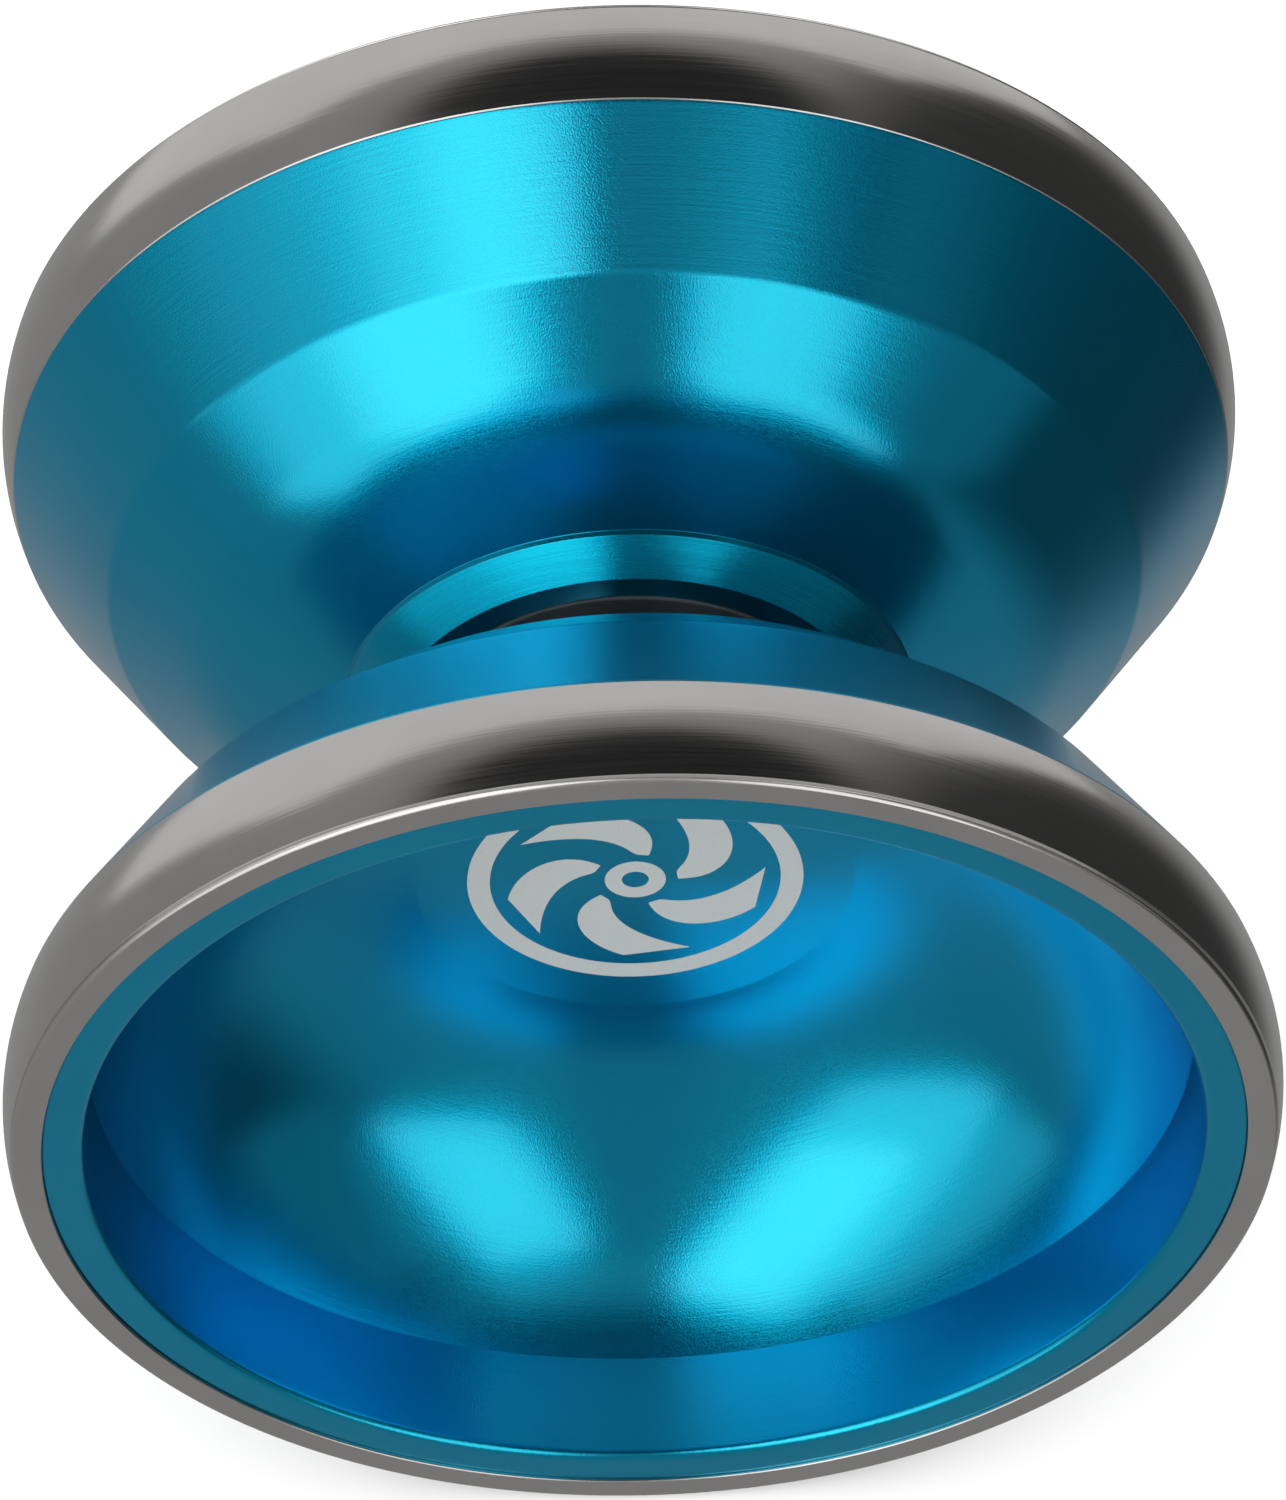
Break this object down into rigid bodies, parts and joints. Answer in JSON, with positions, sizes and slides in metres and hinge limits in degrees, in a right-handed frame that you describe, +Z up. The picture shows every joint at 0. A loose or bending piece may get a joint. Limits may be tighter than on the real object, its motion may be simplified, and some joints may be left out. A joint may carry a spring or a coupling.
{
  "type": "yo yo",
  "caption": "Two-material throwing yo-yo: anodised aluminium halves with pressed steel rims, hollow cups and a wide string gap, screwed together through a shielded ball bearing.",
  "frame": {"origin": "middle of the bearing, on the spin axis, which is the centre of the whole object", "axes": "Y along the spin axis, the front half on -Y and the back half on +Y; +Z up, as the yo-yo lies on its two rims"},
  "size_m": [0.056, 0.0422, 0.056],
  "materials": {
    "blue_aluminium": "cyan-blue anodised, fine bead-blasted satin",
    "steel_rim": "satin turned stainless steel",
    "silicone_pad": "dark grey matte silicone",
    "axle_steel": "stainless set screw",
    "bearing_steel": "ground bearing steel",
    "ball_steel": "polished ball steel",
    "cage_steel": "pressed steel",
    "shield_steel": "bright pressed steel",
    "etched_mark": "laser-etched, bare and frosted",
    "spring_steel": "spring wire"
  },
  "bodies": {
    "bearing_outer": {"bearing_outer_race": "bearing_steel", "bearing_shield_front": "shield_steel", "bearing_shield_back": "shield_steel", "bearing_snap_ring_front": "spring_steel", "bearing_snap_ring_back": "spring_steel"},
    "front_half": {"body_front": "blue_aluminium", "rim_front": "steel_rim", "response_pad_front": "silicone_pad", "axle": "axle_steel", "bearing_inner_race": "bearing_steel"},
    "back_pad": {"response_pad_back": "silicone_pad"},
    "back_half": {"body_back": "blue_aluminium", "rim_back": "steel_rim"},
    "ball_cage": {"bearing_cage": "cage_steel"},
    "ball_1": {"bearing_ball_1": "ball_steel"},
    "ball_2": {"bearing_ball_2": "ball_steel"},
    "ball_3": {"bearing_ball_3": "ball_steel"},
    "ball_4": {"bearing_ball_4": "ball_steel"},
    "ball_5": {"bearing_ball_5": "ball_steel"},
    "ball_6": {"bearing_ball_6": "ball_steel"},
    "ball_7": {"bearing_ball_7": "ball_steel"},
    "ball_8": {"bearing_ball_8": "ball_steel"}
  },
  "joints": [
    {"name": "yoyo_spin", "type": "hinge", "parent": "bearing_outer", "child": "front_half", "pos_m": [0, 0, 0], "axis": [0, 1, 0], "continuous": true},
    {"name": "ball_cage_spin", "type": "hinge", "parent": "bearing_outer", "child": "ball_cage", "pos_m": [0, 0, 0], "axis": [0, 1, 0], "continuous": true},
    {"name": "back_half_travel", "type": "slide", "parent": "front_half", "child": "back_pad", "axis": [0, 1, 0], "range_m": [0, 0.0049]},
    {"name": "back_half_unscrew", "type": "hinge", "parent": "back_pad", "child": "back_half", "pos_m": [0, 0, 0], "axis": [0, 1, 0], "range_deg": [0, 2520]},
    {"name": "ball_1_spin", "type": "hinge", "parent": "ball_cage", "child": "ball_1", "pos_m": [0.00476, 0, 0], "axis": [0, 1, 0], "continuous": true},
    {"name": "ball_2_spin", "type": "hinge", "parent": "ball_cage", "child": "ball_2", "pos_m": [0.00337, 0, 0.00337], "axis": [0, 1, 0], "continuous": true},
    {"name": "ball_3_spin", "type": "hinge", "parent": "ball_cage", "child": "ball_3", "pos_m": [0, 0, 0.00476], "axis": [0, 1, 0], "continuous": true},
    {"name": "ball_4_spin", "type": "hinge", "parent": "ball_cage", "child": "ball_4", "pos_m": [-0.00337, 0, 0.00337], "axis": [0, 1, 0], "continuous": true},
    {"name": "ball_5_spin", "type": "hinge", "parent": "ball_cage", "child": "ball_5", "pos_m": [-0.00476, 0, 0], "axis": [0, 1, 0], "continuous": true},
    {"name": "ball_6_spin", "type": "hinge", "parent": "ball_cage", "child": "ball_6", "pos_m": [-0.00337, 0, -0.00337], "axis": [0, 1, 0], "continuous": true},
    {"name": "ball_7_spin", "type": "hinge", "parent": "ball_cage", "child": "ball_7", "pos_m": [0, 0, -0.00476], "axis": [0, 1, 0], "continuous": true},
    {"name": "ball_8_spin", "type": "hinge", "parent": "ball_cage", "child": "ball_8", "pos_m": [0.00337, 0, -0.00337], "axis": [0, 1, 0], "continuous": true}
  ],
  "couplings": [
    {"joint": "ball_cage_spin", "follows": "yoyo_spin", "ratio": 0.41667},
    {"joint": "back_half_unscrew", "follows": "back_half_travel", "rad_per_m": 8976},
    {"joint": "ball_1_spin", "follows": "yoyo_spin", "ratio": -2.9167},
    {"joint": "ball_2_spin", "follows": "yoyo_spin", "ratio": -2.9167},
    {"joint": "ball_3_spin", "follows": "yoyo_spin", "ratio": -2.9167},
    {"joint": "ball_4_spin", "follows": "yoyo_spin", "ratio": -2.9167},
    {"joint": "ball_5_spin", "follows": "yoyo_spin", "ratio": -2.9167},
    {"joint": "ball_6_spin", "follows": "yoyo_spin", "ratio": -2.9167},
    {"joint": "ball_7_spin", "follows": "yoyo_spin", "ratio": -2.9167},
    {"joint": "ball_8_spin", "follows": "yoyo_spin", "ratio": -2.9167}
  ]
}
